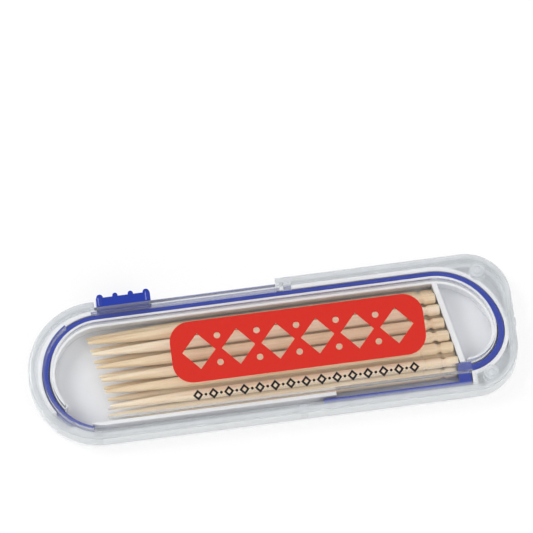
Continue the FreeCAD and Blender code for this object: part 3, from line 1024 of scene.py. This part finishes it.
@dataclass
class Toothpicks:
    """The turned toothpicks, each with its own grain and slight differences from its lathe."""

    diameter: float = 2.2 * MM
    sides: int = 28
    wobble: float = 0.02
    seed: int = 7

    def profile(self, length: float, radius: float, wear: float) -> Outline:
        """A toothpick's radius along its length.

        Args:
            length: The toothpick's length.
            radius: Its radius at the barrel.
            wear: How far this one's head differs, as a share.

        Returns:
            Places along the toothpick, with the radius at each.
        """
        # millimetres from the tip or from the head's end, with the share of the barrel's radius there
        tip = ((0.0, 0.1), (0.08, 0.22), (1.5, 0.38), (5.0, 0.58), (9.0, 0.77), (13.0, 0.92), (17.0, 1.0))
        step = ((6.6, 1.0), (6.4, 0.98), (6.25, 0.88), (6.1, 0.87), (5.95, 0.94), (5.7, 0.97))
        groove = ((3.6, 0.97), (3.35, 0.94), (3.1, 0.8), (2.85, 0.7), (2.5, 0.69), (2.3, 0.8), (2.1, 0.93))
        end = ((1.9, 0.95), (0.4, 0.93), (0.12, 0.86), (0.0, 0.68))
        head = (*step, *groove, *end)
        points = [(along * MM, radius * share) for along, share in tip]
        points += [(length - back * MM, radius * share * (1 - wear)) for back, share in head]
        return points

    def ring(self, x: float, middle: Vector, radius: float) -> Ring:
        """A circle of points round a toothpick's axis."""
        turns = [math.radians(360 * i / self.sides) for i in range(self.sides)]
        return [Vector((x, middle.y + radius * math.cos(t), middle.z + radius * math.sin(t))) for t in turns]

    def build(self) -> None:
        """Builds each toothpick where its solid lies."""
        birches = [birch.make() for birch in BIRCHES]
        nodes = sorted(node for node in frame["nodes"] if node.startswith("toothpick_"))
        dice = random.Random(self.seed)
        for number, node in enumerate(nodes):
            low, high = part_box(node)
            middle = (low + high) / 2
            body = "next_pick" if node == "toothpick_next" else "case"
            profile = self.profile(high.x - low.x, self.diameter / 2, dice.uniform(0, self.wobble))
            rings = [self.ring(low.x + along, middle, radius) for along, radius in profile]
            pick = skin_rings(f"{node}_turned", rings)
            dress(pick, body, birches[number % len(birches)], (node,))


@dataclass
class CoverPrint:
    """The generic print on the cover: a red panel with lozenges left open, and a black chain below it."""

    panel_x: tuple[float, float] = (-18.6 * MM, 28.65 * MM)
    panel_y: tuple[float, float] = (-4.75 * MM, 6.85 * MM)
    corner: float = 3.8 * MM
    film: float = 0.02 * MM
    lozenges: int = 6
    lozenge_long: float = 6.2 * MM
    lozenge_wide: float = 6.8 * MM
    end_gap: float = 0.2  # of a pitch, left free at each end of the panel
    dot_radius: float = 0.6 * MM
    dot_offset: float = 0.375  # of a lozenge's width, from the panel's middle line
    dot_sides: int = 20
    chain_x: tuple[float, float] = (-15.6 * MM, 26.6 * MM)
    chain_y: float = -7.2 * MM
    links: int = 15
    link_long: float = 1.9 * MM
    link_wide: float = 2.1 * MM
    link_hollow: float = 0.46
    link_dot: float = 0.27 * MM

    def build(self) -> None:
        """Builds the panel and the chain on the cover's face."""
        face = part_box("clear_cover")[1].z
        middle_y = sum(self.panel_y) / 2
        pitch = (self.panel_x[1] - self.panel_x[0]) / (self.lozenges + 2 * self.end_gap)
        shapes = [round_rectangle(*self.panel_x, *self.panel_y, self.corner)]
        for number in range(self.lozenges):
            x = self.panel_x[0] + pitch * (number + 0.5 + self.end_gap)
            shapes.append(self.diamond(x, middle_y, self.lozenge_long, self.lozenge_wide))
            if number:
                for side in (-1, 1):
                    dot_y = middle_y + side * self.lozenge_wide * self.dot_offset
                    shapes.append(self.dot(x - pitch / 2, dot_y, self.dot_radius))
        self.print_film("print_panel", shapes, face, RED_INK.make())
        self.print_film("print_chain", self.chain(), face, BLACK_INK.make())

    @staticmethod
    def diamond(x: float, y: float, long: float, wide: float) -> Outline:
        """A lozenge's four corners."""
        return [(x - long / 2, y), (x, y - wide / 2), (x + long / 2, y), (x, y + wide / 2)]

    def dot(self, x: float, y: float, radius: float) -> Outline:
        """A round dot's outline, whose last point isn't its first one again."""
        return arc((x, y), radius, 0, 360 - 360 / self.dot_sides, self.dot_sides - 1)

    def chain(self) -> list[Outline]:
        """The black chain: open lozenges with a dot between each two.

        Returns:
            Its outlines, with each lozenge's opening after its outer edge.
        """
        shapes: list[Outline] = []
        pitch = (self.chain_x[1] - self.chain_x[0] - self.link_long) / (self.links - 1)
        for number in range(self.links):
            x = self.chain_x[0] + self.link_long / 2 + pitch * number
            for share in (1.0, self.link_hollow):
                shapes.append(self.diamond(x, self.chain_y, self.link_long * share, self.link_wide * share))
            if number:
                shapes.append(self.dot(x - pitch / 2, self.chain_y, self.link_dot))
        return shapes

    def print_film(self, name: str, shapes: list[Outline], face: float, ink: Material) -> None:
        """Lays one ink film on the cover.

        Args:
            name: The film's name.
            shapes: Its outline, and then the openings in it.
            face: The height of the cover's face.
            ink: Its material.
        """
        curve = bpy.data.curves.new(name, "CURVE")
        curve.dimensions = "2D"
        curve.fill_mode = "BOTH"
        curve.extrude = self.film / 2
        for shape in shapes:
            spline = curve.splines.new("POLY")
            spline.points.add(len(shape) - 1)
            for point, (x, y) in zip(spline.points, shape):
                point.co = (x, y, 0, 1)
            spline.use_cyclic_u = True
        drawn = bpy.data.objects.new(f"{name}_drawn", curve)
        mesh = bpy.data.meshes.new_from_object(drawn)
        bpy.data.objects.remove(drawn)
        mesh.transform(Matrix.Translation((0, 0, face + self.film / 2)))
        dress(new_object(name, mesh), "case", ink)


@dataclass
class Studio:
    """White sweep paper, soft light and the camera."""

    yaw: float = 7.6
    tilt: float = 13.0
    look_at: tuple[float, float] = (1.353 * MM, 17.38 * MM)
    distance: float = 2.0
    focal: float = 726.0
    sensor: float = 36.0
    paper_half: float = 3.0
    paper_gap: float = 0.01 * MM  # under the case, so that no two faces coincide
    overhead_level: float = 0.36
    side_level: float = 0.83
    overhead_z: tuple[float, float] = (0.8, 0.98)  # the air darkens between these heights of a unit sphere
    lamps: tuple[tuple[str, tuple[float, float, float], float, float], ...] = (  # name, place, size, watts
        ("key", (-0.6, 0.28, 0.62), 0.35, 3.1),
        ("fill", (0.22, -0.2, 0.42), 0.35, 0.6),
    )

    def build(self) -> None:
        """Builds the floor, the lamps, the world and the camera."""
        self.build_floor()
        self.build_light()
        self.build_camera()

    def build_floor(self) -> None:
        """Lays the paper under the case."""
        shape = bmesh.new()
        bmesh.ops.create_grid(shape, x_segments=2, y_segments=2, size=self.paper_half)
        mesh = bpy.data.meshes.new("sweep_paper")
        shape.to_mesh(mesh)
        shape.free()
        floor = new_object("sweep_paper", mesh)
        floor.location.z = -self.paper_gap
        floor.data.materials.append(PaperSweep().make())

    def build_light(self) -> None:
        """Sets soft air and two soft lamps, at a level where colours render as they are written."""
        world = bpy.data.worlds.new("studio_air")
        world.use_nodes = True
        tree = world.node_tree
        tree.nodes.clear()
        # soft panels stand round the table, and the air above it is darker
        way = add_node(tree, "ShaderNodeTexCoord")
        parts = add_node(tree, "ShaderNodeSeparateXYZ", {"Vector": way.outputs["Generated"]})
        level = add_node(
            tree,
            "ShaderNodeMapRange",
            {
                "Value": parts.outputs["Z"],
                "From Min": self.overhead_z[0],
                "From Max": self.overhead_z[1],
                "To Min": self.side_level,
                "To Max": self.overhead_level,
            },
        )
        air = add_node(tree, "ShaderNodeBackground", {"Color": (1, 1, 1, 1), "Strength": level})
        add_node(tree, "ShaderNodeOutputWorld", {"Surface": air})
        bpy.context.scene.world = world
        for name, place, size, watts in self.lamps:
            data = bpy.data.lights.new(f"{name}_lamp", "AREA")
            data.size = size
            data.energy = watts
            lamp = bpy.data.objects.new(data.name, data)
            lamp.location = place
            lamp.rotation_euler = (-Vector(place)).to_track_quat("-Z", "Y").to_euler()
            bpy.context.scene.collection.objects.link(lamp)

    def build_camera(self) -> None:
        """Places the camera high over the case and turns it a little."""
        yaw, tilt = math.radians(self.yaw), math.radians(self.tilt)
        right = Vector((math.cos(yaw), -math.sin(yaw), 0))
        up = Vector((math.cos(tilt) * math.sin(yaw), math.cos(tilt) * math.cos(yaw), math.sin(tilt)))
        back = Vector((-math.sin(tilt) * math.sin(yaw), -math.sin(tilt) * math.cos(yaw), math.cos(tilt)))
        data = bpy.data.cameras.new("camera")
        data.lens = self.focal
        data.sensor_width = self.sensor
        camera = bpy.data.objects.new("camera", data)
        turned = Matrix((right, up, back)).transposed().to_4x4()
        at = Vector((*self.look_at, 0.0)) + back * self.distance
        camera.matrix_world = Matrix.Translation(at) @ turned
        bpy.context.scene.collection.objects.link(camera)
        bpy.context.scene.camera = camera
        bpy.context.scene.view_settings.view_transform = "Standard"


def main() -> None:
    """Builds the dispenser piece by piece, then the studio round it."""
    logging.basicConfig(level=logging.INFO, format="%(name)s: %(message)s")
    steps: tuple[Callable[[], None], ...] = (
        Case().build,
        Strip().build,
        ThumbButton().build,
        Toothpicks().build,
        CoverPrint().build,
        Studio().build,
    )
    for step in steps:
        step()


if __name__ == "__main__":
    main()
